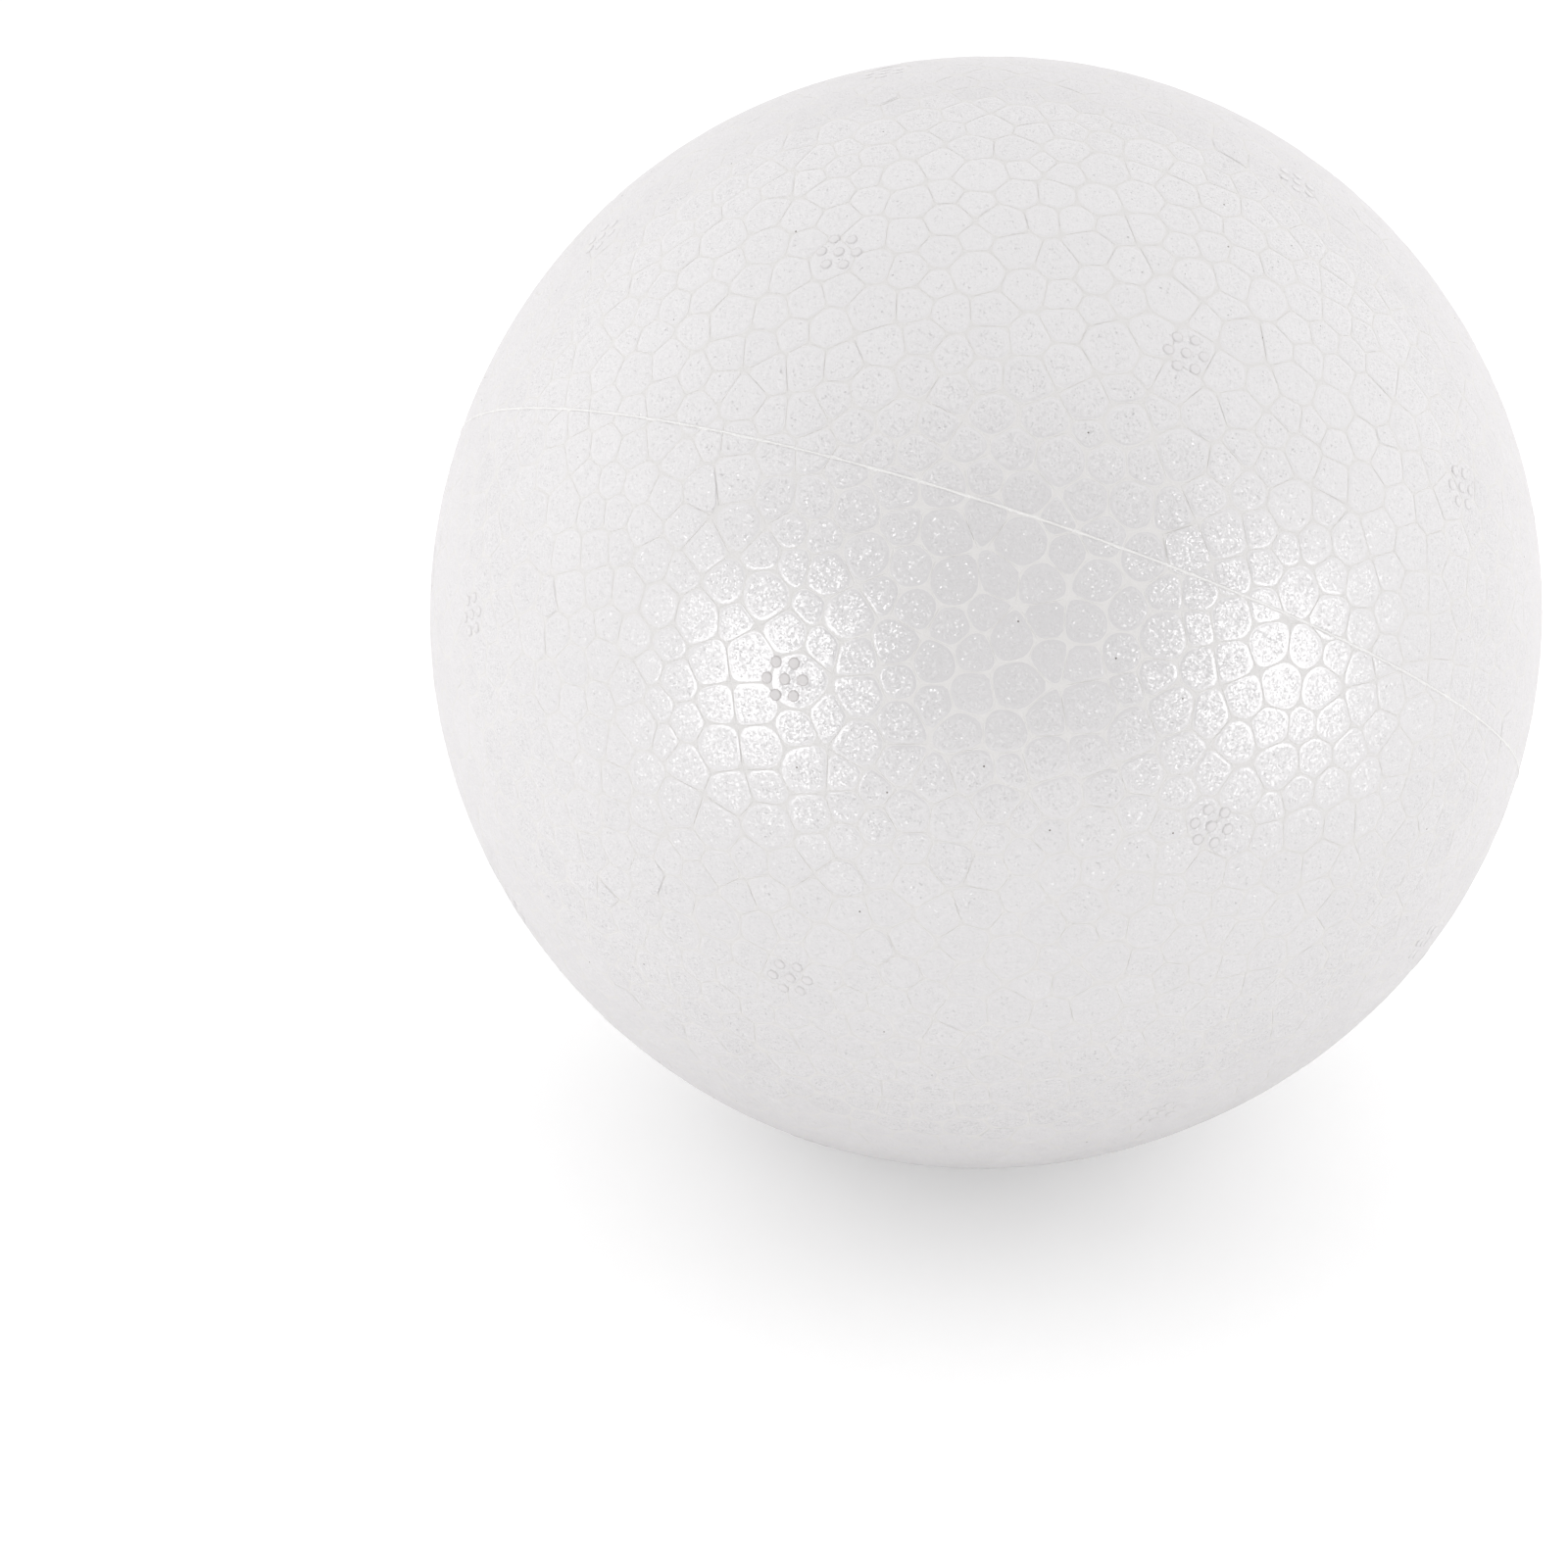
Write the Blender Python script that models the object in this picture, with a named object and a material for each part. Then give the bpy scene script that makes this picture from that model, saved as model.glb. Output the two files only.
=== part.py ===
"""Polystyrene craft ball, moulded in one piece from expanded beads.

Run with: blender --background --python part.py
Units are metres, +Z is up and the origin is the ball's centre.

Steam swells loose beads until they fill a two-part mould and weld together. The skin of such a
ball is therefore a mosaic of low bead faces with sunk joints between them. The ball also keeps a
mark of the mould: a thin raised line where the halves met.

Everything is made in the mould's frame, with the parting plane at Z = 0, and the finished ball is
then turned to the attitude in which it is shown.
"""

import math

import bpy
import bmesh
import numpy as np

# Ball
BALL_DIAMETER = 0.100
OUT_OF_ROUND = 0.00015  # cooling foam shrinks unevenly, by up to this much

# Attitude of the mould's axis: leaned back about X, then rolled about Y
MOULD_LEAN = math.radians(-34.5)
MOULD_ROLL = math.radians(22.5)

# Bead mosaic
SURFACE_BEADS = 1700  # beads that reach the skin
JOINT_DEPTH = 0.00025  # how far the joints lie below the crowns of the beads
BEAD_SIZE_SPREAD = 0.17  # standard deviation of a bead's radius, as a share of the mean
BEAD_SIZE_LIMITS = (0.55, 1.4)  # smallest and largest radius, as shares of the mean
BEAD_PACKING = 0.86  # share of the skin covered by the beads' own circles once settled
BEAD_SWELL = 1.12  # each circle grows by this to close the gaps between the beads
SETTLING_STEPS = 30
NEIGHBOURS_TRIED = 18  # nearest beads that can share a corner with a bead
BEAD_SEED = 11

# Parting line
FLASH_WIDTH = 0.0004
FLASH_HEIGHT = 0.00015

SHARPEST_SMOOTH_EDGE = math.radians(12.0)  # edges inside a bead are shaded smooth, joints sharp
FOAM_COLOUR = (0.93, 0.93, 0.94, 1.0)
FOAM_ROUGHNESS = 0.6


def clear_scene():
    for obj in list(bpy.data.objects):
        bpy.data.objects.remove(obj, do_unlink=True)


def foam_material():
    material = bpy.data.materials.new("expanded_polystyrene")
    material.use_nodes = True
    surface = material.node_tree.nodes["Principled BSDF"]
    surface.inputs["Base Color"].default_value = FOAM_COLOUR
    surface.inputs["Roughness"].default_value = FOAM_ROUGHNESS
    surface.inputs["Metallic"].default_value = 0.0
    return material


def unit(vectors):
    return vectors / np.linalg.norm(vectors, axis=-1, keepdims=True)


def skin_radius(directions):
    """The ball's radius over the crowns of the beads, with the few broad swells left by cooling."""
    x, y, z = np.moveaxis(np.asarray(directions), -1, 0)
    swells = np.sin(4.3 * x + 1.1) * np.cos(3.7 * y + 0.4) + np.sin(5.1 * z + 2.6 * x + 0.8)
    return BALL_DIAMETER / 2 + 0.5 * OUT_OF_ROUND * swells


def spread_directions(count):
    """Evenly spread directions, on a spiral from pole to pole."""
    step = np.arange(count) + 0.5
    height = 1.0 - 2.0 * step / count
    turn = step * math.pi * (1.0 + math.sqrt(5.0))
    level = np.sqrt(1.0 - height**2)
    return np.column_stack((level * np.cos(turn), level * np.sin(turn), height))


def bead_radii(random, count):
    """The beads' radii as angles seen from the centre, sized to cover BEAD_PACKING of the skin."""
    radii = np.clip(random.normal(1.0, BEAD_SIZE_SPREAD, count), *BEAD_SIZE_LIMITS)
    return radii * math.sqrt(4.0 * BEAD_PACKING / np.sum(radii**2))


def settled(directions, radii):
    """Pushes crowded beads apart until they lie side by side."""
    wanted = radii[:, None] + radii[None, :]
    for _ in range(SETTLING_STEPS):
        apart = np.sqrt(np.maximum(2.0 - 2.0 * directions @ directions.T, 1e-12))
        np.fill_diagonal(apart, np.inf)
        crowding = np.maximum(wanted - apart, 0.0) / apart
        push = crowding.sum(axis=1)[:, None] * directions - crowding @ directions
        directions = unit(directions + 0.5 * push)
    return directions


def bead_faces(random):
    """Normals and distances from the centre of the bead faces' planes.

    Each plane cuts a circle of the bead's own radius from a ball JOINT_DEPTH below the skin, and
    neighbouring circles overlap, so that the planes meet along straight joints at that depth.
    """
    spread = spread_directions(SURFACE_BEADS)
    radii = bead_radii(random, SURFACE_BEADS)
    normals = settled(unit(spread + random.normal(0.0, radii.mean() / 2, spread.shape)), radii)
    joints = skin_radius(normals) - JOINT_DEPTH
    return normals, joints * np.sqrt(1.0 - (BEAD_SWELL * radii) ** 2)


def mosaic_corners(normals, distances):
    """The corners where three bead faces meet, as sorted triples of beads and their points.

    A corner is real where no other face near it cuts it off.
    """
    near = np.argsort(-(normals @ normals.T), axis=1)[:, : NEIGHBOURS_TRIED + 1]
    first, second = np.triu_indices(NEIGHBOURS_TRIED, k=1)
    bead = np.repeat(np.arange(len(normals)), len(first))
    triples = np.column_stack((bead, near[:, 1 + first].ravel(), near[:, 1 + second].ravel()))
    points = np.linalg.solve(normals[triples], distances[triples][..., None])[..., 0]
    others = near[bead]
    inside = np.einsum("tki,ti->tk", normals[others], points) <= distances[others]
    inside |= (others[:, :, None] == triples[:, None, :]).any(axis=2)
    real = inside.all(axis=1)
    triples, kept = np.unique(np.sort(triples[real], axis=1), axis=0, return_index=True)
    return triples, points[real][kept]


def mosaic(normals, distances):
    """The ball as a closed mesh with one flat face for each bead."""
    triples, points = mosaic_corners(normals, distances)
    mesh = bmesh.new()
    corners = [mesh.verts.new(point) for point in points]
    for bead, normal in enumerate(normals):
        own = np.nonzero((triples == bead).any(axis=1))[0]
        side = unit(np.cross(normal, normals[bead - 1]))
        offsets = points[own] - points[own].mean(axis=0)
        angles = np.arctan2(offsets @ np.cross(normal, side), offsets @ side)
        mesh.faces.new([corners[corner] for corner in own[np.argsort(angles)]])
    return mesh


def raise_crowns(mesh):
    """Lifts the middle of every bead face to the ball's skin."""
    for crown in bmesh.ops.poke(mesh, faces=mesh.faces[:])["verts"]:
        direction = crown.co.normalized()
        crown.co = direction * skin_radius(direction)


def raise_flash(mesh):
    """Raises a ridge of even height along the parting plane, from the beads that it crosses."""
    for height in (-FLASH_WIDTH / 2, 0.0, FLASH_WIDTH / 2):
        parts = mesh.verts[:] + mesh.edges[:] + mesh.faces[:]
        bmesh.ops.bisect_plane(mesh, geom=parts, plane_co=(0, 0, height), plane_no=(0, 0, 1))
    for vert in mesh.verts:
        share = 1.0 - abs(vert.co.z) / (FLASH_WIDTH / 2)
        if share > 0.0:
            radius = vert.co.length
            ridge = skin_radius(vert.co.normalized()) + FLASH_HEIGHT
            vert.co *= 1.0 + share * (ridge - radius) / radius


def as_object(name, mesh, material):
    """Makes an object of a bmesh, and frees the bmesh."""
    bmesh.ops.recalc_face_normals(mesh, faces=mesh.faces)
    data = bpy.data.meshes.new(name)
    mesh.to_mesh(data)
    mesh.free()
    data.shade_smooth()
    data.set_sharp_from_angle(angle=SHARPEST_SMOOTH_EDGE)
    data.materials.append(material)
    obj = bpy.data.objects.new(name, data)
    bpy.context.scene.collection.objects.link(obj)
    return obj


def main():
    clear_scene()
    foam = foam_material()
    normals, distances = bead_faces(np.random.default_rng(BEAD_SEED))

    skin = mosaic(normals, distances)
    raise_crowns(skin)
    raise_flash(skin)
    ball = as_object("foam_ball", skin, foam)
    ball.rotation_euler = (MOULD_LEAN, MOULD_ROLL, 0.0)


main()
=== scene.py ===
"""Polystyrene craft ball, moulded in one piece from expanded beads, and a plain studio round it.

Steam swells loose beads until they fill a two-part mould and weld together. The skin of such a
ball is a mosaic of pressed bead faces. Most faces have five to seven sides, and all have rounded
corners and end in a soft shoulder. Narrow joints run between them, with small pits where three
meet. A thin raised line marks where the halves of the mould met, and groups of seven pips mark its
vents.

Lengths are in metres. The ball is shaped in the mould's own frame, with the parting plane at
Z = 0, and is then turned to the attitude in which it is shown.
"""

import math

import bmesh
import bpy
import numpy as np
from bpy.props import FloatProperty, FloatVectorProperty, IntProperty, PointerProperty
from mathutils import Euler, Matrix, Vector, noise
from mathutils.bvhtree import BVHTree


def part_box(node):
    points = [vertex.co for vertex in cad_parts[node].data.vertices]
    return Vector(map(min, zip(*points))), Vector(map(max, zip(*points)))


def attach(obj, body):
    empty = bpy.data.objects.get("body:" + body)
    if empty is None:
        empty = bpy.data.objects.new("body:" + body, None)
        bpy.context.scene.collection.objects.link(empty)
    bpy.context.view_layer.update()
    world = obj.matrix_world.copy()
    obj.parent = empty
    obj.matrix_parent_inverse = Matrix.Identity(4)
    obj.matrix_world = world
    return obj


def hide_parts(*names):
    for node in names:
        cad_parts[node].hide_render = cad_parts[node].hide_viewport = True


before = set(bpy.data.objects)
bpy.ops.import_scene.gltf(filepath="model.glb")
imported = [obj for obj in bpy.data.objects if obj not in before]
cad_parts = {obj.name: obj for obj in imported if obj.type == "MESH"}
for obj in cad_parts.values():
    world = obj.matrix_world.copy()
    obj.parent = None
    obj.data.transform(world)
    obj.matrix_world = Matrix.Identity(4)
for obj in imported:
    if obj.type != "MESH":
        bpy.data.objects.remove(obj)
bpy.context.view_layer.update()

bl_info = {
    "name": "Moulded Foam Ball",
    "version": (1, 0, 0),
    "blender": (4, 5, 0),
    "location": "View3D > Sidebar > Foam Ball",
    "description": "Models a moulded polystyrene craft ball, bead by bead, in a plain studio",
    "category": "Add Mesh",
}

NODE = "foam_ball"
BODY = "root"
SKIN = "bead_skin"

LOWEST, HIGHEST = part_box(NODE)
BALL_DIAMETER = sum(HIGHEST - LOWEST) / 3

# Attributes that the materials read
EDGE = "edge"  # a point's place on the skin, one of the four below
TONE = "bead_tone"  # a number between 0 and 1 for each bead
LOOSE = "loose"  # 0 where a pip is pressed as hard as the faces, 1 where it is left loose
FOOT_SHADE_MARK = "squeezed"  # how far painted shade darkens the ring round a pip's foot, and 0 on the pip's top

# Places on the skin, as values of EDGE
FACE_MIDDLE = 0.0
FACE_RIM = 1.0
JOINT = 2.0
MOULD_LINE = 3.0
HIGHEST_ON_FACE = 1.01  # points with a higher EDGE lie in a joint or on the mould line

# How the beads are laid out
BEAD_SIZE_LIMITS = (0.55, 1.4)  # smallest and largest radius, as shares of the mean
BEAD_PACKING = 0.86  # share of the skin covered by the beads' own circles once settled
BEAD_SWELL = 1.12  # each circle grows by this to close the gaps between the beads
SETTLING_STEPS = 30
NEIGHBOURS_TRIED = 18  # nearest beads that can share a corner with a bead
RIM_POINTS = 4  # points on a face's rim for each of its sides, an even number
FACE_SQUARENESS = (3.8, 8.0)  # powers that round a face's corners: a higher one is squarer
LEAST_REACH = 0.35  # smallest distance kept from a face's middle to its side, as a share
JOINT_SPREAD = (0.7, 1.4)  # narrowest and widest inset of a face, as shares of the joint's width
JOINT_TONE = 0.5  # the joints belong to no bead, so they take the mean tone
PROUD_TILT = 2.2  # how much more a proud bead tilts than the others
PROUD_RIM = 0.85  # its rim's EDGE, below 1 so that the film runs over the rim and glints
FLASH_MEAN = 0.75  # mean height of the mould line, as a share of the height set for it
FLASH_SWING = 0.5  # how far the height wavers either way, as a share of the height set
FLASH_WAVE = 0.003  # length over which it wavers
LEAST_RIDGE = 0.02  # a point raised by less than this share of the mould line is left alone
STEEPEST = 0.99  # Z of the steepest normal whose level axis is worked out from the upright

# Mould vents as rows: latitude, longitude of the row's first vent, and how loose each one leaves
# the foam in its pips, from 0 to 1
VENT_ROWS = (
    (90.0, 0.0, (0.5,)),
    (50.7, -5.4, (0.6, 0.4, 0.7, 0.3, 0.3)),
    (20.0, 15.6, (0.7, 0.5, 0.9, 0.6, 0.4, 0.3, 0.35, 0.35, 0.3, 0.3)),
    (-20.4, 15.5, (0.5, 0.9, 0.6, 0.4, 0.4, 1.0, 0.35, 0.3)),
    (-50.7, 30.6, (0.8, 0.5, 0.3, 0.35, 0.4)),
    (-90.0, 0.0, (0.6,)),
)
PIPS_ROUND_VENT = 6
VENT_TURN = math.radians(11.0)  # from the mould's equator to the first pip of a ring
PIP_SIDES = 14
# Rings of a pip from its buried foot up: radius and height as shares, and if painted shade darkens it
PIP_PROFILE = ((1.24, -6.0, 1), (1.24, 0.12, 1), (1.02, 0.12, 1), (0.96, 0.85, 0), (0.8, 1.0, 0))

# The photograph's frame, in its own pixels
PHOTO_SIZE = 1600
BALL_CENTRE_IN_PHOTO = (1006.8, 624.0)
BALL_RADIUS_IN_PHOTO = 568.7
LENS_MM = 85.0
SENSOR_MM = 36.0
CAMERA_PITCH = math.radians(30.0)  # how far the camera looks down


def linear(hex_colour):
    """An sRGB hex colour as linear red, green and blue."""
    channels = [int(hex_colour[start : start + 2], 16) / 255 for start in (0, 2, 4)]
    return tuple(c / 12.92 if c <= 0.04045 else ((c + 0.055) / 1.055) ** 2.4 for c in channels)


class FoamBallSizes(bpy.types.PropertyGroup):
    """Sizes of the moulded ball."""

    diameter: FloatProperty(
        name="Diameter",
        description="Mean diameter over the bead faces",
        default=BALL_DIAMETER,
        min=0.02,
        unit="LENGTH",
    )
    out_of_round: FloatProperty(
        name="Out of Round",
        description="How far the broad swells left by cooling reach",
        default=0.00015,
        min=0.0,
        unit="LENGTH",
    )
    lean: FloatProperty(
        name="Mould Lean",
        description="How far the mould's axis leans about X",
        default=math.radians(-34.5),
        unit="ROTATION",
    )
    roll: FloatProperty(
        name="Mould Roll",
        description="How far the mould's axis then rolls about Y",
        default=math.radians(22.5),
        unit="ROTATION",
    )
    surface_beads: IntProperty(
        name="Surface Beads",
        description="Number of beads that reach the skin",
        default=3050,
        min=200,
    )
    bead_spread: FloatProperty(
        name="Bead Spread",
        description="Standard deviation of a bead's radius, as a share of the mean",
        default=0.12,
        min=0.0,
        max=0.3,
    )
    joint_width: FloatProperty(
        name="Joint Width",
        description="Width of the joint between two bead faces",
        default=0.00015,
        min=0.0,
        unit="LENGTH",
    )
    joint_depth: FloatProperty(
        name="Joint Depth",
        description="How far the bottom of the shallowest joint lies below the faces",
        default=0.00002,
        min=0.0,
        unit="LENGTH",
    )
    pit_depth: FloatProperty(
        name="Pit Depth",
        description="Depth of the deepest pit where three beads meet",
        default=0.00005,
        min=0.0,
        unit="LENGTH",
    )
    face_tilt: FloatProperty(
        name="Face Tilt",
        description="Standard deviation of how far a bead's face tilts from the skin",
        default=math.radians(0.4),
        unit="ROTATION",
    )
    proud_share: FloatProperty(
        name="Proud Beads",
        description="Share of the beads that stand proud of the skin",
        default=0.012,
        min=0.0,
        max=1.0,
    )
    proud_height: FloatProperty(
        name="Proud Height",
        description="How far a proud bead stands out",
        default=0.00004,
        min=0.0,
        unit="LENGTH",
    )
    flash_width: FloatProperty(
        name="Mould Line Width",
        description="Width of the raised line where the mould's halves met",
        default=0.0003,
        min=0.0,
        unit="LENGTH",
    )
    flash_height: FloatProperty(
        name="Mould Line Height",
        description="Height of the raised line above the skin",
        default=0.00011,
        min=0.0,
        unit="LENGTH",
    )
    pip_diameter: FloatProperty(
        name="Pip Diameter",
        description="Diameter of one pip of a vent mark",
        default=0.00078,
        min=0.0,
        unit="LENGTH",
    )
    pip_pitch: FloatProperty(
        name="Pip Pitch",
        description="Distance between the pips of a vent mark",
        default=0.0015,
        min=0.0,
        unit="LENGTH",
    )
    pip_height: FloatProperty(
        name="Pip Height",
        description="Height of a pip above the skin",
        default=0.00005,
        min=0.0,
        unit="LENGTH",
    )
    seed: IntProperty(
        name="Seed",
        description="Starts the random draws that lay out the beads",
        default=11,
    )


class FoamBallColours(bpy.types.PropertyGroup):
    """Colours of the foam and of the studio."""

    face: FloatVectorProperty(
        name="Bead Face",
        description="Colour of the pressed face of a bead",
        default=linear("EBE9EA"),
        subtype="COLOR",
        min=0.0,
        max=1.0,
    )
    joint: FloatVectorProperty(
        name="Joint",
        description="Colour of the dense welded walls between beads",
        default=linear("E9E7E6"),
        subtype="COLOR",
        min=0.0,
        max=1.0,
    )
    flash: FloatVectorProperty(
        name="Mould Line",
        description="Colour of the dense polystyrene squeezed between the mould's halves",
        default=linear("F6F5F4"),
        subtype="COLOR",
        min=0.0,
        max=1.0,
    )
    pip: FloatVectorProperty(
        name="Pip",
        description="Colour of the loose foam on top of a pip",
        default=linear("E3E0E0"),
        subtype="COLOR",
        min=0.0,
        max=1.0,
    )
    # Painted shade: a darker ring round the foot of each pip stands in for the shade that falls there
    pip_foot_shade: FloatVectorProperty(
        name="Pip Ring",
        description="Colour of the ring of painted shade round a pip",
        default=linear("D6D2D2"),
        subtype="COLOR",
        min=0.0,
        max=1.0,
    )
    speck: FloatVectorProperty(
        name="Speck",
        description="Colour of the few specks of dirt in the skin",
        default=linear("77706A"),
        subtype="COLOR",
        min=0.0,
        max=1.0,
    )
    floor: FloatVectorProperty(
        name="Floor",
        description="Colour of the studio floor",
        default=linear("F2F2F2"),
        subtype="COLOR",
        min=0.0,
        max=1.0,
    )


def unit(vectors):
    return vectors / np.linalg.norm(vectors, axis=-1, keepdims=True)


def skin_radius(directions, sizes):
    """The ball's radius over the bead faces, with the few broad swells left by cooling."""
    x, y, z = np.moveaxis(np.asarray(directions), -1, 0)
    swells = np.sin(4.3 * x + 1.1) * np.cos(3.7 * y + 0.4) + np.sin(5.1 * z + 2.6 * x + 0.8)
    return sizes.diameter / 2 + 0.5 * sizes.out_of_round * swells


def spread_directions(count):
    """Evenly spread directions, on a spiral from pole to pole."""
    step = np.arange(count) + 0.5
    height = 1.0 - 2.0 * step / count
    turn = step * math.pi * (1.0 + math.sqrt(5.0))
    level = np.sqrt(1.0 - height**2)
    return np.column_stack((level * np.cos(turn), level * np.sin(turn), height))


def bead_radii(random, sizes):
    """The beads' radii as angles seen from the centre, sized to cover BEAD_PACKING of the skin."""
    radii = random.normal(1.0, sizes.bead_spread, sizes.surface_beads)
    radii = np.clip(radii, *BEAD_SIZE_LIMITS)
    return radii * math.sqrt(4.0 * BEAD_PACKING / np.sum(radii**2))


def settled(directions, radii):
    """Pushes crowded beads apart until they lie side by side."""
    wanted = radii[:, None] + radii[None, :]
    for _ in range(SETTLING_STEPS):
        apart = np.sqrt(np.maximum(2.0 - 2.0 * directions @ directions.T, 1e-12))
        np.fill_diagonal(apart, np.inf)
        crowding = np.maximum(wanted - apart, 0.0) / apart
        push = crowding.sum(axis=1)[:, None] * directions - crowding @ directions
        directions = unit(directions + 0.5 * push)
    return directions


def bead_planes(random, sizes):
    """Normals of the beads' faces, and the faces' distances from the centre of a ball of radius 1."""
    spread = spread_directions(sizes.surface_beads)
    radii = bead_radii(random, sizes)
    normals = settled(unit(spread + random.normal(0.0, radii.mean() / 2, spread.shape)), radii)
    return normals, np.sqrt(1.0 - (BEAD_SWELL * radii) ** 2)


def mosaic_corners(normals, distances):
    """Directions of the corners where three beads meet, and the numbers of those beads.

    A corner is real where no other face near it cuts it off.
    """
    near = np.argsort(-(normals @ normals.T), axis=1)[:, : NEIGHBOURS_TRIED + 1]
    first, second = np.triu_indices(NEIGHBOURS_TRIED, k=1)
    bead = np.repeat(np.arange(len(normals)), len(first))
    triples = np.column_stack((bead, near[:, 1 + first].ravel(), near[:, 1 + second].ravel()))
    points = np.linalg.solve(normals[triples], distances[triples][..., None])[..., 0]
    others = near[bead]
    inside = np.einsum("tki,ti->tk", normals[others], points) <= distances[others]
    inside |= (others[:, :, None] == triples[:, None, :]).any(axis=2)
    real = inside.all(axis=1)
    triples, kept = np.unique(np.sort(triples[real], axis=1), axis=0, return_index=True)
    return unit(points[real][kept]), triples


def tangent_axes(normal):
    """Two directions at right angles to a normal and to each other, the first one level."""
    upright = (0.0, 0.0, 1.0) if abs(normal[2]) < STEEPEST else (1.0, 0.0, 0.0)
    level = unit(np.cross(upright, normal))
    return level, np.cross(normal, level)


def flattened(directions, axis, level, rise):
    """Where directions meet the plane that touches a ball of radius 1 at axis."""
    return np.column_stack((directions @ level, directions @ rise)) / (directions @ axis)[:, None]


def face_reach(corners, toward, inset, squareness):
    """How far a face reaches from its middle in some directions, inside a polygon of corners.

    Each side counts by how soon it is met in a direction, and a high power of that rounds the
    corners between the sides.
    """
    sides = np.roll(corners, -1, axis=0) - corners
    outward = unit(np.column_stack((sides[:, 1], -sides[:, 0])))
    distance = np.einsum("ij,ij->i", outward, corners)
    distance = np.maximum(distance - inset, LEAST_REACH * distance)
    nearness = np.maximum(toward @ outward.T, 0.0) / distance
    return (nearness**squareness).sum(axis=1) ** (-1.0 / squareness)


class Skin:
    """The points and faces of the skin, and what its material reads at each point."""

    def __init__(self):
        self.points = []
        self.edge = []
        self.tone = []
        self.faces = []

    def add(self, points, edge, tone):
        """Adds points, each with its own place between face and joint, and gives their numbers."""
        first = len(self.points)
        self.points.extend(points)
        self.edge.extend(edge)
        self.tone.extend([tone] * len(points))
        return list(range(first, len(self.points)))


def beads_round_corners(triples, count):
    """The numbers of each bead's corners, bead by bead."""
    own = [[] for _ in range(count)]
    for corner, triple in enumerate(triples):
        for bead in triple:
            own[bead].append(corner)
    return own


def add_face(skin, random, sizes, pits, corners):
    """Adds one bead's face, and the shoulders that fall from its rim to the joints round it.

    Pits are the numbers of the points at the bottoms of its corners, and corners their directions.
    """
    axis = unit(corners.sum(axis=0))
    axes = tangent_axes(axis)
    flat = flattened(corners, axis, *axes)
    angles = np.arctan2(flat[:, 1], flat[:, 0])
    order = np.argsort(angles)
    pits, flat, angles = np.array(pits)[order], flat[order], angles[order]
    steps = (np.roll(angles, -1) - angles) % math.tau
    turns = (angles[:, None] + steps[:, None] * (np.arange(RIM_POINTS) + 0.5) / RIM_POINTS).ravel()
    toward = np.column_stack((np.cos(turns), np.sin(turns)))
    inset = sizes.joint_width / sizes.diameter * random.uniform(*JOINT_SPREAD)
    reach = face_reach(flat, toward, inset, random.uniform(*FACE_SQUARENESS))
    proud = sizes.proud_height if random.random() < sizes.proud_share else 0.0
    tilt = random.normal(0.0, sizes.face_tilt * (PROUD_TILT if proud else 1.0), 2)
    rim = np.vstack((toward * reach[:, None], (0.0, 0.0)))
    directions = unit(axis + rim @ np.array(axes))
    radius = skin_radius(directions, sizes) + proud + rim @ tilt * sizes.diameter / 2
    edge = [PROUD_RIM if proud else FACE_RIM] * len(toward) + [FACE_MIDDLE]
    *ring, middle = skin.add(directions * radius[:, None], edge, random.random())
    count, half = len(ring), RIM_POINTS // 2
    for side, pit in enumerate(pits):
        first = side * RIM_POINTS
        for point in range(first - half, first + half - 1):
            skin.faces.append((pit, ring[(point + 1) % count], ring[point % count]))
        next_pit = pits[(side + 1) % len(pits)]
        skin.faces.append((pit, next_pit, ring[first + half], ring[first + half - 1]))
    for point in range(count):
        skin.faces.append((ring[point], ring[(point + 1) % count], middle))


def skin_mesh(skin):
    """The skin as a bmesh that carries its attributes."""
    data = bpy.data.meshes.new("skin")
    data.from_pydata([tuple(point) for point in skin.points], [], skin.faces)
    for name, values in ((EDGE, skin.edge), (TONE, skin.tone)):
        data.attributes.new(name, "FLOAT", "POINT").data.foreach_set("value", values)
    mesh = bmesh.new()
    mesh.from_mesh(data)
    bpy.data.meshes.remove(data)
    return mesh


def raise_flash(mesh, sizes):
    """Raises a ridge of even height along the parting plane, from the beads that it crosses."""
    half = sizes.flash_width / 2
    for height in (-half, 0.0, half):
        parts = mesh.verts[:] + mesh.edges[:] + mesh.faces[:]
        bmesh.ops.bisect_plane(mesh, geom=parts, plane_co=(0, 0, height), plane_no=(0, 0, 1))
    edge = mesh.verts.layers.float[EDGE]
    for vert in mesh.verts:
        share = 1.0 - abs(vert.co.z) / half
        if share > LEAST_RIDGE:
            radius = vert.co.length
            uneven = FLASH_MEAN + FLASH_SWING * noise.noise(vert.co / FLASH_WAVE)
            ridge = skin_radius(vert.co.normalized(), sizes) + uneven * sizes.flash_height
            vert.co *= 1.0 + share * (ridge - radius) / radius
            vert[edge] = MOULD_LINE


def mould_turn(sizes):
    """The rotation from the mould's frame to the attitude in which the ball is shown."""
    return Euler((sizes.lean, sizes.roll, 0.0)).to_matrix()


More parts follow.
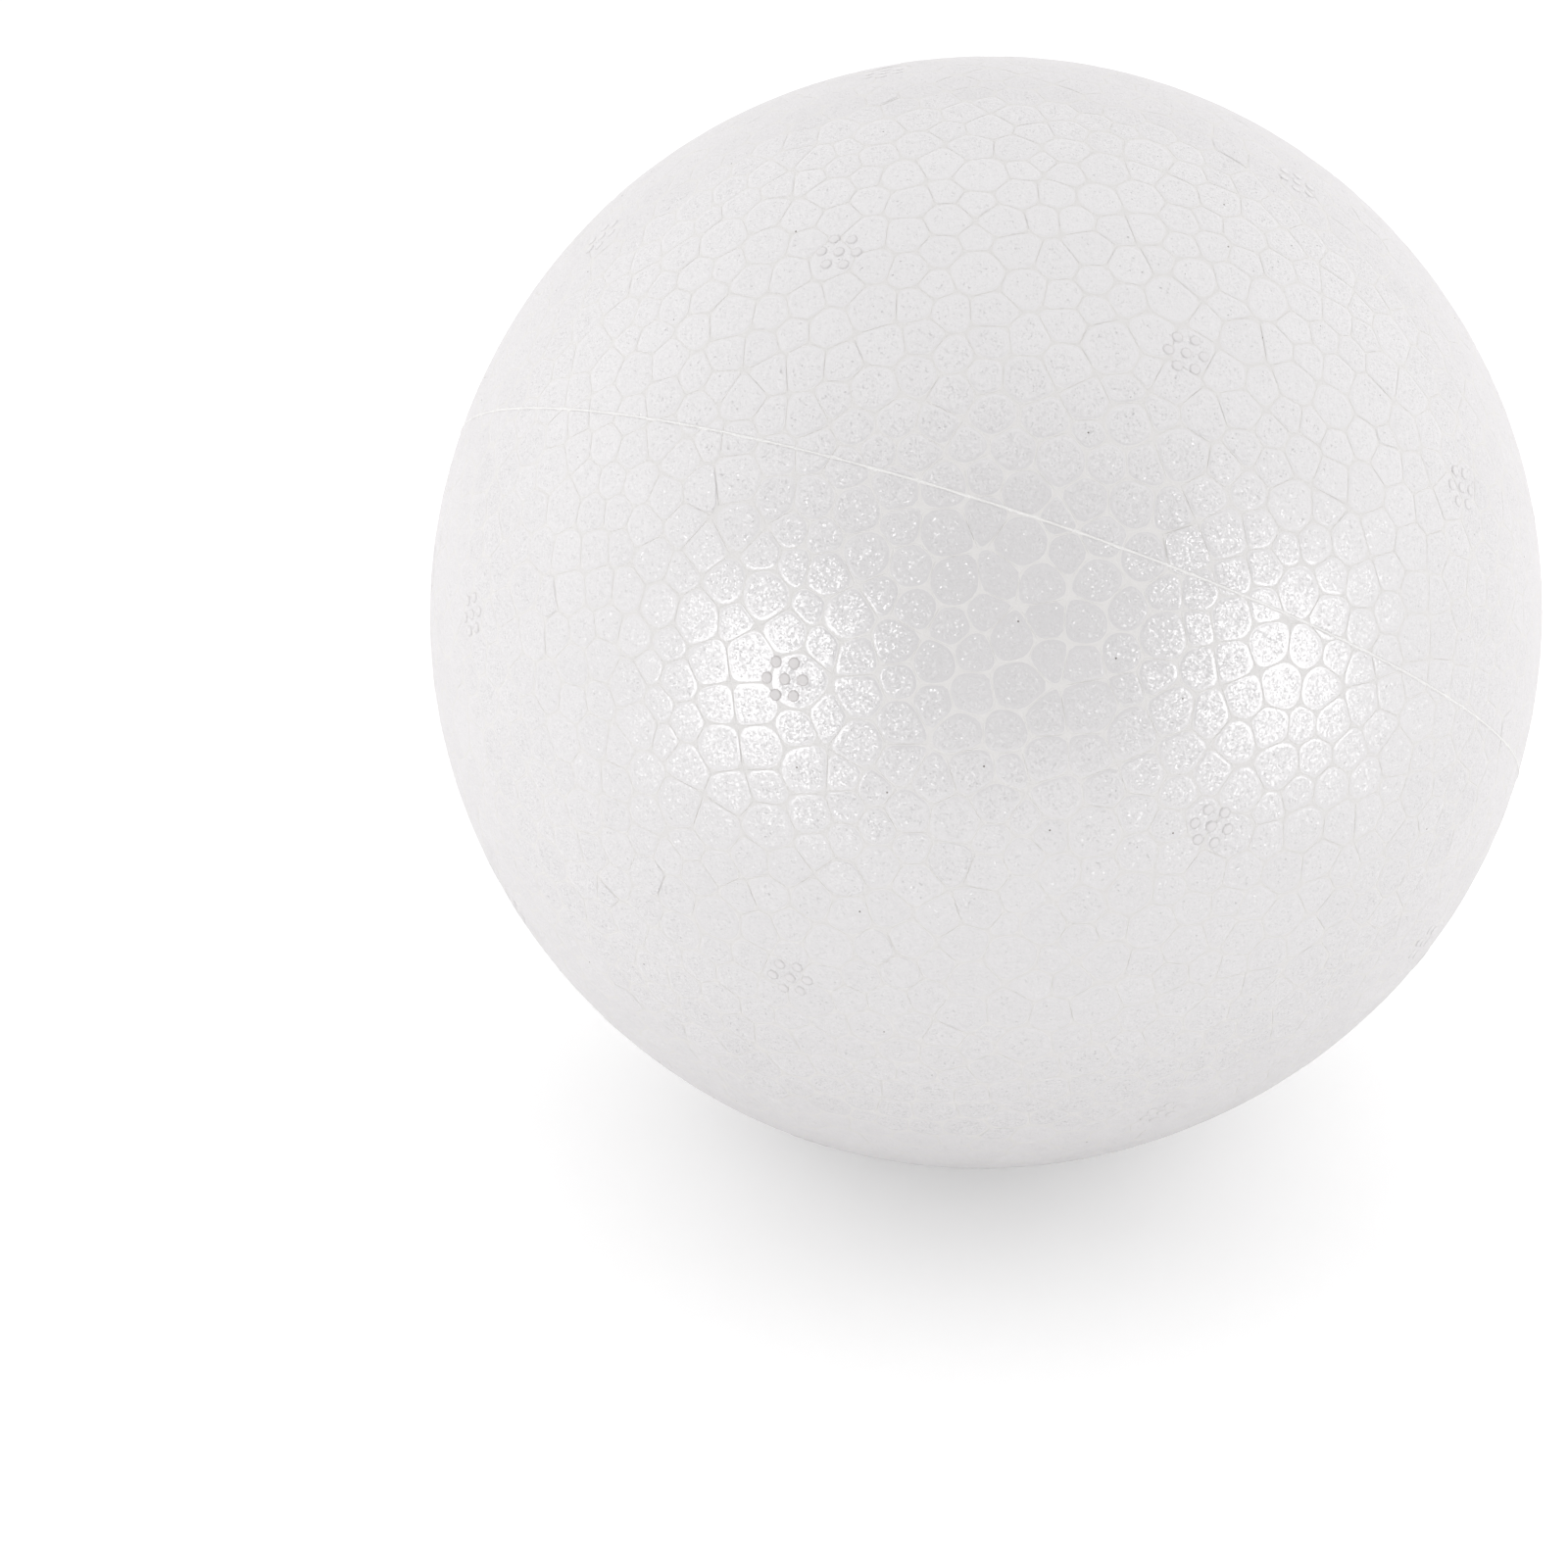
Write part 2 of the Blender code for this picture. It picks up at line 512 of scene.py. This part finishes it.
def shade_faces(data):
    """Lets each bead's face shade as one smooth surface right up to its rim."""
    edge = np.empty(len(data.vertices))
    data.attributes[EDGE].data.foreach_get("value", edge)
    corner_point = np.empty(len(data.loops), int)
    data.loops.foreach_get("vertex_index", corner_point)
    sides = np.empty(len(data.polygons), int)
    data.polygons.foreach_get("loop_total", sides)
    normals = np.empty(len(data.polygons) * 3)
    data.polygons.foreach_get("normal", normals)
    areas = np.empty(len(data.polygons))
    data.polygons.foreach_get("area", areas)
    polygon = np.repeat(np.arange(len(sides)), sides)
    normals = normals.reshape(-1, 3)
    on_face = edge < HIGHEST_ON_FACE
    level = np.bincount(polygon, ~on_face[corner_point]) == 0
    smooth = np.zeros((len(edge), 3))
    used = level[polygon]
    np.add.at(smooth, corner_point[used], (normals * areas[:, None])[polygon[used]])
    known = on_face & (np.abs(smooth).sum(axis=1) > 0.0)
    smooth[known] = unit(smooth[known])
    shown = np.where(known[corner_point][:, None], smooth[corner_point], normals[polygon])
    data.normals_split_custom_set(shown)


def as_piece(name, mesh, material):
    """Makes an object of a bmesh and lets it ride with the ball."""
    bmesh.ops.recalc_face_normals(mesh, faces=mesh.faces)
    data = bpy.data.meshes.new(name)
    mesh.to_mesh(data)
    mesh.free()
    data.shade_smooth()
    data.materials.append(material)
    piece = bpy.data.objects.new(name, data)
    bpy.context.scene.collection.objects.link(piece)
    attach(piece, BODY)
    return piece


def add_node(tree, kind, inputs=None, **settings):
    """Adds a node with its settings. Inputs are values, or the output sockets that feed them."""
    node = tree.nodes.new(kind)
    for name, value in settings.items():
        setattr(node, name, value)
    for key, value in (inputs or {}).items():
        if isinstance(value, bpy.types.NodeSocket):
            tree.links.new(value, node.inputs[key])
        else:
            node.inputs[key].default_value = value
    return node


# Colour sockets of a Mix node, which share their names with its other sockets
MIX_A = 6
MIX_B = 7
MIX_RESULT = 2


def new_tree(material_name):
    material = bpy.data.materials.new(material_name)
    material.use_nodes = True
    material.node_tree.nodes.clear()
    return material, material.node_tree


# Expanded polystyrene pressed against a warm polished mould: white foam under a thin satin film.
# The film is drawn tight over the foam's cells, so that it is a mosaic of tiny facets, and most of
# them lie nearly level. It stops at the joints, where the foam is matt.
FILM_CELL = 0.00014  # drawn a little coarser than the real cells, so that they show
FILM_FACET_TILT = 0.95  # scales how far the facets lean
FILM_LEAST_SHARE = 0.14  # facets that lean little still lean by this share of the full tilt
CALM_RIM = (0.75, 0.95)  # EDGE between which the facets grow calmer towards a face's rim
CALM_SHARE = 0.3  # what is left of their tilt at the rim
FACETS_SHADE = (0.32, 0.66)  # gloss fades between these, from 0 seen squarely to 1 seen edge on
CELL_SHADE = 0.98  # colour of the dullest cell, as a share of the brightest
BEAD_SHADE = 0.98  # the same for the beads
FILM_ROUGHNESS = 0.25
FILM_IOR = 1.62  # above the 1.59 of polystyrene, because the cell walls under the film reflect too
RIM_FALL = 0.00002  # how far the film falls towards the rim of a bead's face
RIM_FALL_STARTS = 0.84  # EDGE at which it begins to fall
FACE_TO_JOINT = (1.0, 1.2)  # EDGE between which the film ends
JOINT_TO_FLASH = (2.0, 2.4)  # EDGE between which a joint turns to the mould line
JOINT_ROUGHNESS = 0.9
JOINT_SPECULAR = 0.45
PIP_ROUGHNESS = 0.5
PIP_SPECULAR = 0.05  # of a pip that is left loose
SPECK_SPACING = 0.0025  # one place for a speck in each such cube, most of them unused
SPECK_SHARE = 0.28  # share of the places that hold a speck, if the skin passes close enough
SPECK_RADIUS = 0.00008


def film_cells(tree):
    """A random colour for each cell of the foam, the same over all of the cell."""
    place = add_node(tree, "ShaderNodeTexCoord").outputs["Object"]
    inputs = {"Vector": place, "Scale": 1 / FILM_CELL}
    return add_node(tree, "ShaderNodeTexVoronoi", inputs).outputs["Color"]


def faceted(tree, cells, edge):
    """The film's normal: every cell leans its own way, and the calm rim of a bead falls away."""
    lean = add_node(
        tree,
        "ShaderNodeVectorMath",
        {0: cells, 1: (0.5, 0.5, 0.5)},
        operation="SUBTRACT",
    ).outputs["Vector"]
    # The square of the lean makes steep facets rare
    square = add_node(
        tree,
        "ShaderNodeVectorMath",
        {0: lean, 1: lean},
        operation="DOT_PRODUCT",
    ).outputs["Value"]
    rarity = add_node(
        tree,
        "ShaderNodeMath",
        {0: square, 1: FILM_LEAST_SHARE},
        operation="ADD",
    ).outputs["Value"]
    calm = add_node(
        tree,
        "ShaderNodeMapRange",
        {
            "Value": edge,
            "From Min": CALM_RIM[0],
            "From Max": CALM_RIM[1],
            "To Min": FILM_FACET_TILT,
            "To Max": CALM_SHARE * FILM_FACET_TILT,
        },
        interpolation_type="SMOOTHSTEP",
    ).outputs["Result"]
    share = add_node(
        tree,
        "ShaderNodeMath",
        {0: rarity, 1: calm},
        operation="MULTIPLY",
    ).outputs["Value"]
    facet = add_node(
        tree,
        "ShaderNodeVectorMath",
        {0: lean, "Scale": share},
        operation="SCALE",
    ).outputs["Vector"]
    fall = add_node(
        tree,
        "ShaderNodeMapRange",
        {"Value": edge, "From Min": RIM_FALL_STARTS, "To Min": RIM_FALL, "To Max": 0.0},
        interpolation_type="SMOOTHSTEP",
    ).outputs["Result"]
    bent = add_node(
        tree,
        "ShaderNodeBump",
        {"Height": fall, "Distance": 1.0},
    ).outputs["Normal"]
    tilted = add_node(
        tree,
        "ShaderNodeVectorMath",
        {0: bent, 1: facet},
        operation="ADD",
    ).outputs["Vector"]
    return add_node(
        tree,
        "ShaderNodeVectorMath",
        {0: tilted},
        operation="NORMALIZE",
    ).outputs["Vector"]


def unshaded(tree):
    """How much of the film's gloss is left where its facets shade one another, seen aslant."""
    aslant = add_node(tree, "ShaderNodeLayerWeight", {"Blend": 0.5}).outputs["Facing"]
    return add_node(
        tree,
        "ShaderNodeMapRange",
        {
            "Value": aslant,
            "From Min": FACETS_SHADE[0],
            "From Max": FACETS_SHADE[1],
            "To Min": 1.0,
            "To Max": 0.0,
        },
        interpolation_type="SMOOTHSTEP",
    ).outputs["Result"]


def specks(tree):
    """1 on the few specks of dirt and 0 elsewhere."""
    place = add_node(tree, "ShaderNodeTexCoord").outputs["Object"]
    inputs = {"Vector": place, "Scale": 1 / SPECK_SPACING}
    grit = add_node(tree, "ShaderNodeTexVoronoi", inputs)
    near = add_node(
        tree,
        "ShaderNodeMath",
        {0: grit.outputs["Distance"], 1: SPECK_RADIUS / SPECK_SPACING},
        operation="LESS_THAN",
    ).outputs["Value"]
    draw = add_node(tree, "ShaderNodeSeparateColor", {"Color": grit.outputs["Color"]})
    used = add_node(
        tree,
        "ShaderNodeMath",
        {0: draw.outputs["Red"], 1: SPECK_SHARE},
        operation="LESS_THAN",
    ).outputs["Value"]
    return add_node(
        tree,
        "ShaderNodeMath",
        {0: near, 1: used},
        operation="MULTIPLY",
    ).outputs["Value"]


def face_colour(tree, colours, cells):
    """The colour of the bead faces, a shade apart from bead to bead and from cell to cell."""
    tone = add_node(tree, "ShaderNodeAttribute", attribute_name=TONE).outputs["Fac"]
    draw = add_node(tree, "ShaderNodeSeparateColor", {"Color": cells}).outputs["Blue"]
    toned = add_node(
        tree,
        "ShaderNodeMapRange",
        {"Value": tone, "To Min": BEAD_SHADE, "To Max": 1.0},
    ).outputs["Result"]
    celled = add_node(
        tree,
        "ShaderNodeMapRange",
        {"Value": draw, "To Min": CELL_SHADE, "To Max": 1.0},
    ).outputs["Result"]
    shade = add_node(
        tree,
        "ShaderNodeMath",
        {0: toned, 1: celled},
        operation="MULTIPLY",
    ).outputs["Value"]
    return add_node(
        tree,
        "ShaderNodeMix",
        {"Factor": 1.0, MIX_A: (*colours.face, 1.0), MIX_B: shade},
        data_type="RGBA",
        blend_type="MULTIPLY",
    ).outputs[MIX_RESULT]


def pressed_foam(colours):
    """Moulded expanded polystyrene: satin bead faces between duller, denser joints."""
    material, tree = new_tree("moulded_expanded_polystyrene")
    edge = add_node(tree, "ShaderNodeAttribute", attribute_name=EDGE).outputs["Fac"]
    cells = film_cells(tree)
    in_joint = add_node(
        tree,
        "ShaderNodeMapRange",
        {"Value": edge, "From Min": FACE_TO_JOINT[0], "From Max": FACE_TO_JOINT[1]},
        interpolation_type="SMOOTHSTEP",
    ).outputs["Result"]
    on_flash = add_node(
        tree,
        "ShaderNodeMapRange",
        {"Value": edge, "From Min": JOINT_TO_FLASH[0], "From Max": JOINT_TO_FLASH[1]},
        interpolation_type="SMOOTHSTEP",
    ).outputs["Result"]
    welded = add_node(
        tree,
        "ShaderNodeMix",
        {"Factor": on_flash, MIX_A: (*colours.joint, 1.0), MIX_B: (*colours.flash, 1.0)},
        data_type="RGBA",
    ).outputs[MIX_RESULT]
    clean = add_node(
        tree,
        "ShaderNodeMix",
        {"Factor": in_joint, MIX_A: face_colour(tree, colours, cells), MIX_B: welded},
        data_type="RGBA",
    ).outputs[MIX_RESULT]
    colour = add_node(
        tree,
        "ShaderNodeMix",
        {"Factor": specks(tree), MIX_A: clean, MIX_B: (*colours.speck, 1.0)},
        data_type="RGBA",
    ).outputs[MIX_RESULT]
    roughness = add_node(
        tree,
        "ShaderNodeMapRange",
        {"Value": in_joint, "To Min": FILM_ROUGHNESS, "To Max": JOINT_ROUGHNESS},
    ).outputs["Result"]
    film = add_node(
        tree,
        "ShaderNodeMapRange",
        {"Value": in_joint, "To Min": 1.0, "To Max": JOINT_SPECULAR},
    ).outputs["Result"]
    shine = add_node(
        tree,
        "ShaderNodeMath",
        {0: film, 1: unshaded(tree)},
        operation="MULTIPLY",
    ).outputs["Value"]
    surface = add_node(
        tree,
        "ShaderNodeBsdfPrincipled",
        {
            "Base Color": colour,
            "Roughness": roughness,
            "IOR": FILM_IOR,
            "Specular IOR Level": shine,
            "Normal": faceted(tree, cells, edge),
        },
    )
    add_node(tree, "ShaderNodeOutputMaterial", {"Surface": surface.outputs["BSDF"]})
    return material


def free_foam(colours):
    """Expanded polystyrene that swelled into a vent, where it is pressed less: matt and open."""
    material, tree = new_tree("free_expanded_polystyrene")
    loose = add_node(tree, "ShaderNodeAttribute", attribute_name=LOOSE).outputs["Fac"]
    # painted shade: this attribute marks the ring round a pip's foot, which is darkened as if shaded
    squeezed = add_node(tree, "ShaderNodeAttribute", attribute_name=FOOT_SHADE_MARK).outputs["Fac"]
    top = add_node(
        tree,
        "ShaderNodeMix",
        {"Factor": loose, MIX_A: (*colours.face, 1.0), MIX_B: (*colours.pip, 1.0)},
        data_type="RGBA",
    ).outputs[MIX_RESULT]
    # the ring round each pip's foot takes a darker colour that stands in for the shade there
    colour = add_node(
        tree,
        "ShaderNodeMix",
        {"Factor": squeezed, MIX_A: top, MIX_B: (*colours.pip_foot_shade, 1.0)},
        data_type="RGBA",
    ).outputs[MIX_RESULT]
    shine = add_node(
        tree,
        "ShaderNodeMapRange",
        {"Value": loose, "To Min": 1.0, "To Max": PIP_SPECULAR},
    ).outputs["Result"]
    surface = add_node(
        tree,
        "ShaderNodeBsdfPrincipled",
        {
            "Base Color": colour,
            "Roughness": PIP_ROUGHNESS,
            "IOR": FILM_IOR,
            "Specular IOR Level": shine,
        },
    )
    add_node(tree, "ShaderNodeOutputMaterial", {"Surface": surface.outputs["BSDF"]})
    return material


class FOAMBALL_OT_skin(bpy.types.Operator):
    """Models the ball's skin, one bead face at a time, with the raised mould line round it"""

    bl_idname = "foam_ball.skin"
    bl_label = "Bead Skin"

    def execute(self, context):
        sizes = context.scene.foam_ball_sizes
        random = np.random.default_rng(sizes.seed)
        corners, triples = mosaic_corners(*bead_planes(random, sizes))
        skin = Skin()
        depth = random.uniform(sizes.joint_depth, sizes.pit_depth, len(corners))
        lowered = corners * (skin_radius(corners, sizes) - depth)[:, None]
        skin.add(lowered, [JOINT] * len(corners), JOINT_TONE)
        for pits in beads_round_corners(triples, sizes.surface_beads):
            add_face(skin, random, sizes, pits, corners[pits])
        mesh = skin_mesh(skin)
        raise_flash(mesh, sizes)
        mesh.transform(mould_turn(sizes).to_4x4())
        piece = as_piece(SKIN, mesh, pressed_foam(context.scene.foam_ball_colours))
        shade_faces(piece.data)
        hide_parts(NODE)
        return {"FINISHED"}


def vents():
    """The direction of each of the mould's vents, and how loose it leaves the foam."""
    for latitude, first, row in VENT_ROWS:
        for step, loose in enumerate(row):
            longitude = math.radians(first + 360.0 * step / len(row))
            level = math.cos(math.radians(latitude))
            height = math.sin(math.radians(latitude))
            place = (level * math.cos(longitude), level * math.sin(longitude), height)
            yield np.array(place), loose


def pips(sizes):
    """The direction and looseness of every pip: one at each vent and a ring of them round it."""
    pitch = 2 * sizes.pip_pitch / sizes.diameter
    for vent, loose in vents():
        level, rise = tangent_axes(vent)
        yield vent, loose
        for step in range(PIPS_ROUND_VENT):
            turn = VENT_TURN + math.tau * step / PIPS_ROUND_VENT
            yield unit(vent + pitch * (math.cos(turn) * level + math.sin(turn) * rise)), loose


def seat_radius(skin, direction, axes, sizes):
    """The smallest radius at which a pip clears the bead faces and the joints below it."""
    reach = sizes.pip_diameter / sizes.diameter
    radius = 0.0
    for step in range(PIP_SIDES):
        turn = math.tau * step / PIP_SIDES
        spoke = math.cos(turn) * axes[0] + math.sin(turn) * axes[1]
        hit = skin.ray_cast(Vector(), Vector(unit(direction + reach * spoke)))[0]
        radius = max(radius, hit.length)
    return radius


def add_pip(mesh, skin, direction, loose, sizes):
    """Adds one low round pip, domed on top and closed below the skin."""
    axes = tangent_axes(direction)
    # the second layer carries the painted shade round the pip's foot
    looseness, squeezed = mesh.verts.layers.float[LOOSE], mesh.verts.layers.float[FOOT_SHADE_MARK]
    foot = direction * seat_radius(skin, direction, axes, sizes)
    rings = []
    for width, height, pressed in PIP_PROFILE:
        middle = foot + direction * height * sizes.pip_height
        ring = []
        for step in range(PIP_SIDES):
            turn = math.tau * step / PIP_SIDES
            spoke = math.cos(turn) * axes[0] + math.sin(turn) * axes[1]
            vert = mesh.verts.new(middle + width * sizes.pip_diameter / 2 * spoke)
            vert[looseness] = loose
            # painted shade: the rings at the pip's foot are marked to take a darker colour, as if
            # shaded
            vert[squeezed] = pressed * loose
            ring.append(vert)
        rings.append(ring)
    mesh.faces.new(rings[0][::-1])
    for step in range(PIP_SIDES):
        after = (step + 1) % PIP_SIDES
        for low, high in zip(rings, rings[1:]):
            mesh.faces.new((low[step], low[after], high[after], high[step]))
    mesh.faces.new(rings[-1])


class FOAMBALL_OT_vent_pips(bpy.types.Operator):
    """Models the groups of seven pips that the mould's vents leave on the skin"""

    bl_idname = "foam_ball.vent_pips"
    bl_label = "Vent Pips"

    def execute(self, context):
        sizes = context.scene.foam_ball_sizes
        data = bpy.data.objects[SKIN].data
        skin = BVHTree.FromPolygons(
            [vert.co for vert in data.vertices], [face.vertices for face in data.polygons]
        )
        turn = np.array(mould_turn(sizes))
        mesh = bmesh.new()
        mesh.verts.layers.float.new(LOOSE)
        # the layer for the painted shade round each pip's foot
        mesh.verts.layers.float.new(FOOT_SHADE_MARK)
        for direction, loose in pips(sizes):
            add_pip(mesh, skin, turn @ direction, loose, sizes)
        as_piece("vent_pips", mesh, free_foam(context.scene.foam_ball_colours))
        return {"FINISHED"}


# Studio, in metres and degrees from the ball's centre
FLOOR_SIZE = 12.0
FLOOR_FADE = (0.16, 0.6)  # between these distances the floor turns to the plain white background
FLOOR_LIFT = 0.25  # light that only the camera sees, so that the floor meets the white background
FLOOR_ROUGHNESS = 0.9
FLOOR_SPECULAR = 0.2
BACKDROP_LIGHT = 1.17  # from behind the ball, where the studio is white
ROOM_LIGHT = 0.1  # from the camera's side, where the room is dimmer
ROOM_REACHES = (-0.74, -0.17)  # Y of the directions between which one turns to the other
SOFTBOXES = (
    # name, azimuth from the camera's side, elevation, distance, width, height, radiance
    ("left_softbox", -44.3, 9.5, 0.55, 0.22, 0.22, 4.7),
    ("right_softbox", 53.8, 8.5, 0.55, 0.22, 0.23, 4.2),
)


def plain_floor(colours):
    """Matt white paint, rolled on board, that fades to the background away from the ball."""
    material, tree = new_tree("matt_white_painted_board")
    place = add_node(tree, "ShaderNodeTexCoord").outputs["Object"]
    away = add_node(
        tree,
        "ShaderNodeVectorMath",
        {0: place},
        operation="LENGTH",
    ).outputs["Value"]
    faded = add_node(
        tree,
        "ShaderNodeMapRange",
        {"Value": away, "From Min": FLOOR_FADE[0], "From Max": FLOOR_FADE[1]},
        interpolation_type="SMOOTHSTEP",
    ).outputs["Result"]
    camera_ray = add_node(tree, "ShaderNodeLightPath").outputs["Is Camera Ray"]
    plain = add_node(
        tree,
        "ShaderNodeMath",
        {0: faded, 1: camera_ray},
        operation="MULTIPLY",
    ).outputs["Value"]
    lift = add_node(
        tree,
        "ShaderNodeMath",
        {0: camera_ray, 1: FLOOR_LIFT},
        operation="MULTIPLY",
    ).outputs["Value"]
    paint = add_node(
        tree,
        "ShaderNodeBsdfPrincipled",
        {
            "Base Color": (*colours.floor, 1.0),
            "Roughness": FLOOR_ROUGHNESS,
            "Specular IOR Level": FLOOR_SPECULAR,
        },
    ).outputs["BSDF"]
    glow = add_node(tree, "ShaderNodeEmission", {"Strength": lift}).outputs["Emission"]
    lit = add_node(tree, "ShaderNodeAddShader", {0: paint, 1: glow}).outputs["Shader"]
    white = add_node(tree, "ShaderNodeEmission").outputs["Emission"]
    both = add_node(tree, "ShaderNodeMixShader", {0: plain, 1: lit, 2: white}).outputs["Shader"]
    add_node(tree, "ShaderNodeOutputMaterial", {"Surface": both})
    return material


def add_floor(colours):
    data = bpy.data.meshes.new("floor")
    half = FLOOR_SIZE / 2
    square = ((-half, -half, 0.0), (half, -half, 0.0), (half, half, 0.0), (-half, half, 0.0))
    data.from_pydata(square, [], [(0, 1, 2, 3)])
    data.materials.append(plain_floor(colours))
    floor = bpy.data.objects.new("floor", data)
    floor.location.z = LOWEST.z
    bpy.context.scene.collection.objects.link(floor)


def add_world():
    """A white backdrop for the camera, and soft grey light from all round for everything else."""
    world = bpy.data.worlds.new("studio")
    world.use_nodes = True
    tree = world.node_tree
    tree.nodes.clear()
    direction = add_node(tree, "ShaderNodeTexCoord").outputs["Generated"]
    behind = add_node(tree, "ShaderNodeSeparateXYZ", {"Vector": direction}).outputs["Y"]
    around = add_node(
        tree,
        "ShaderNodeMapRange",
        {
            "Value": behind,
            "From Min": ROOM_REACHES[0],
            "From Max": ROOM_REACHES[1],
            "To Min": ROOM_LIGHT,
            "To Max": BACKDROP_LIGHT,
        },
        interpolation_type="SMOOTHSTEP",
    ).outputs["Result"]
    camera_ray = add_node(tree, "ShaderNodeLightPath").outputs["Is Camera Ray"]
    strength = add_node(
        tree,
        "ShaderNodeMapRange",
        {"Value": camera_ray, "To Min": around, "To Max": 1.0},
    ).outputs["Result"]
    light = add_node(
        tree,
        "ShaderNodeBackground",
        {"Color": (1.0, 1.0, 1.0, 1.0), "Strength": strength},
    ).outputs["Background"]
    add_node(tree, "ShaderNodeOutputWorld", {"Surface": light})
    bpy.context.scene.world = world


def aimed(location, target):
    """The matrix of a lamp or camera at location that looks at target, with its top up."""
    turn = (Vector(target) - Vector(location)).to_track_quat("-Z", "Y")
    return Matrix.Translation(location) @ turn.to_matrix().to_4x4()


def add_softboxes():
    for name, azimuth, elevation, distance, width, height, radiance in SOFTBOXES:
        lamp = bpy.data.lights.new(name, "AREA")
        lamp.shape = "RECTANGLE"
        lamp.size = width
        lamp.size_y = height
        lamp.energy = radiance * math.pi * width * height
        softbox = bpy.data.objects.new(name, lamp)
        round_z, up = math.radians(azimuth), math.radians(elevation)
        level = distance * math.cos(up)
        location = (level * math.sin(round_z), -level * math.cos(round_z), distance * math.sin(up))
        softbox.matrix_world = aimed(location, (0.0, 0.0, 0.0))
        softbox.visible_camera = False
        bpy.context.scene.collection.objects.link(softbox)


def add_camera(sizes):
    """A camera that shows the ball as large, and as far off centre, as the photograph does."""
    pixels = PHOTO_SIZE * LENS_MM / SENSOR_MM
    aside = BALL_CENTRE_IN_PHOTO[0] - PHOTO_SIZE / 2
    above = PHOTO_SIZE / 2 - BALL_CENTRE_IN_PHOTO[1]
    off = math.hypot(aside, above)
    inner = math.atan((off - BALL_RADIUS_IN_PHOTO) / pixels)
    outer = math.atan((off + BALL_RADIUS_IN_PHOTO) / pixels)
    distance = sizes.diameter / 2 / math.sin((outer - inner) / 2)
    across = distance * math.sin((outer + inner) / 2)
    ahead = distance * math.cos((outer + inner) / 2)
    right = Vector((1.0, 0.0, 0.0))
    up = Vector((0.0, math.sin(CAMERA_PITCH), math.cos(CAMERA_PITCH)))
    forward = Vector((0.0, math.cos(CAMERA_PITCH), -math.sin(CAMERA_PITCH)))
    location = -(across * (aside * right + above * up) / off + ahead * forward)
    lens = bpy.data.cameras.new("camera")
    lens.lens = LENS_MM
    lens.sensor_width = SENSOR_MM
    lens.clip_start = 0.01
    camera = bpy.data.objects.new("camera", lens)
    camera.matrix_world = aimed(location, location + forward)
    bpy.context.scene.collection.objects.link(camera)
    bpy.context.scene.camera = camera


class FOAMBALL_OT_stage(bpy.types.Operator):
    """Adds the floor, the soft lights and a camera that sees the ball as the photograph does"""

    bl_idname = "foam_ball.stage"
    bl_label = "Studio"

    def execute(self, context):
        add_floor(context.scene.foam_ball_colours)
        add_world()
        add_softboxes()
        add_camera(context.scene.foam_ball_sizes)
        context.scene.view_settings.view_transform = "Standard"
        return {"FINISHED"}


OPERATORS = (FOAMBALL_OT_skin, FOAMBALL_OT_vent_pips, FOAMBALL_OT_stage)


class FOAMBALL_PT_panel(bpy.types.Panel):
    """Sizes and colours of the ball, and the steps that build it"""

    bl_idname = "FOAMBALL_PT_panel"
    bl_label = "Moulded Foam Ball"
    bl_space_type = "VIEW_3D"
    bl_region_type = "UI"
    bl_category = "Foam Ball"

    def draw(self, context):
        for group in (context.scene.foam_ball_sizes, context.scene.foam_ball_colours):
            column = self.layout.column()
            for name in group.__annotations__:
                column.prop(group, name)
        for operator in OPERATORS:
            self.layout.operator(operator.bl_idname)


CLASSES = (FoamBallSizes, FoamBallColours, *OPERATORS, FOAMBALL_PT_panel)


def register():
    for cls in CLASSES:
        bpy.utils.register_class(cls)
    bpy.types.Scene.foam_ball_sizes = PointerProperty(type=FoamBallSizes)
    bpy.types.Scene.foam_ball_colours = PointerProperty(type=FoamBallColours)


def unregister():
    del bpy.types.Scene.foam_ball_colours
    del bpy.types.Scene.foam_ball_sizes
    for cls in reversed(CLASSES):
        bpy.utils.unregister_class(cls)


def main():
    register()
    bpy.ops.foam_ball.skin()
    bpy.ops.foam_ball.vent_pips()
    bpy.ops.foam_ball.stage()


if __name__ == "__main__":
    main()
